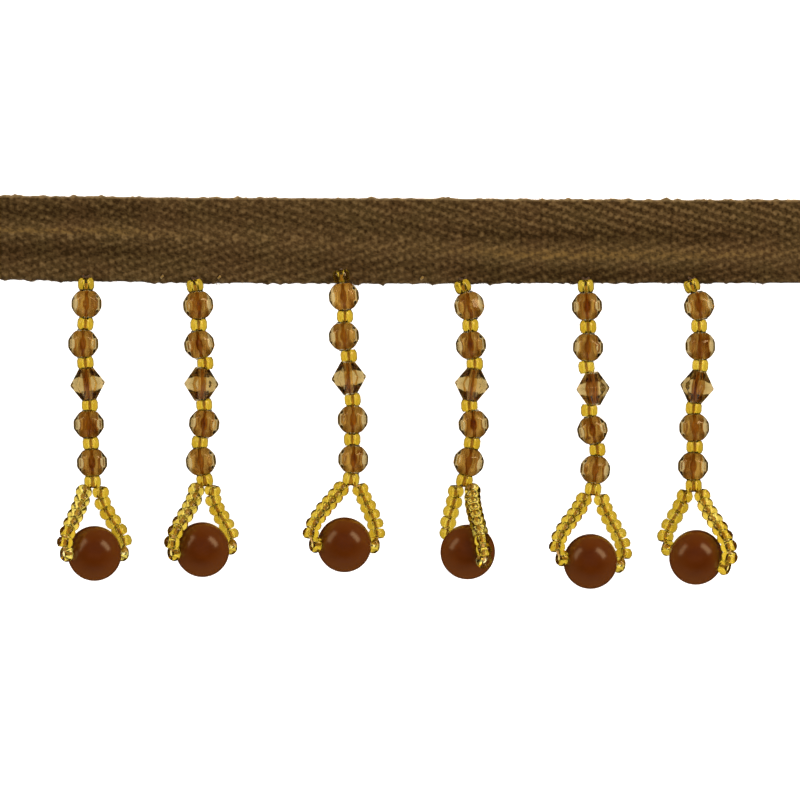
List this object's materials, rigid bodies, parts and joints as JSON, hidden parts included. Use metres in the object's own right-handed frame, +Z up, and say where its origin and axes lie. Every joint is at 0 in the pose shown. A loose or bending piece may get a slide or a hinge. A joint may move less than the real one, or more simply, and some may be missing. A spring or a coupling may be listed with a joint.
{
  "type": "length of beaded fringe on herringbone tape",
  "caption": "Flat length of brown herringbone tape with bead drops along its lower edge; each drop strings faceted glass beads, a bicone and a looped polished ball.",
  "frame": {"origin": "on the surface that the fringe lies on, under the middle of its bounding box", "axes": "+X along the tape, +Y from the drops to the tape's upper edge, +Z up, off the surface"},
  "size_m": [0.16, 0.0716, 0.0131],
  "materials": {
    "tape": "matte cotton twill",
    "seed_beads": "glossy transparent amber",
    "faceted_beads": "polished transparent smoky topaz",
    "balls": "polished"
  },
  "bodies": {
    "root": {"tape": "tape", "drop1_round1": "faceted_beads", "drop1_round2": "faceted_beads", "drop1_round3": "faceted_beads", "drop1_round4": "faceted_beads", "drop1_bicone": "faceted_beads", "drop1_stem": "seed_beads", "drop1_ball": "balls", "drop1_leg_left": "seed_beads", "drop1_leg_right": "seed_beads", "drop2_round1": "faceted_beads", "drop2_round2": "faceted_beads", "drop2_round3": "faceted_beads", "drop2_round4": "faceted_beads", "drop2_bicone": "faceted_beads", "drop2_stem": "seed_beads", "drop2_ball": "balls", "drop2_leg_left": "seed_beads", "drop2_leg_right": "seed_beads", "drop3_round1": "faceted_beads", "drop3_round2": "faceted_beads", "drop3_round3": "faceted_beads", "drop3_round4": "faceted_beads", "drop3_bicone": "faceted_beads", "drop3_stem": "seed_beads", "drop3_ball": "balls", "drop3_leg_left": "seed_beads", "drop3_leg_right": "seed_beads", "drop4_round1": "faceted_beads", "drop4_round2": "faceted_beads", "drop4_round3": "faceted_beads", "drop4_round4": "faceted_beads", "drop4_bicone": "faceted_beads", "drop4_stem": "seed_beads", "drop4_ball": "balls", "drop4_leg_left": "seed_beads", "drop4_leg_right": "seed_beads", "drop5_round1": "faceted_beads", "drop5_round2": "faceted_beads", "drop5_round3": "faceted_beads", "drop5_round4": "faceted_beads", "drop5_bicone": "faceted_beads", "drop5_stem": "seed_beads", "drop5_ball": "balls", "drop5_leg_left": "seed_beads", "drop5_leg_right": "seed_beads", "drop6_round1": "faceted_beads", "drop6_round2": "faceted_beads", "drop6_round3": "faceted_beads", "drop6_round4": "faceted_beads", "drop6_bicone": "faceted_beads", "drop6_stem": "seed_beads", "drop6_ball": "balls", "drop6_leg_left": "seed_beads", "drop6_leg_right": "seed_beads"}
  },
  "joints": []
}
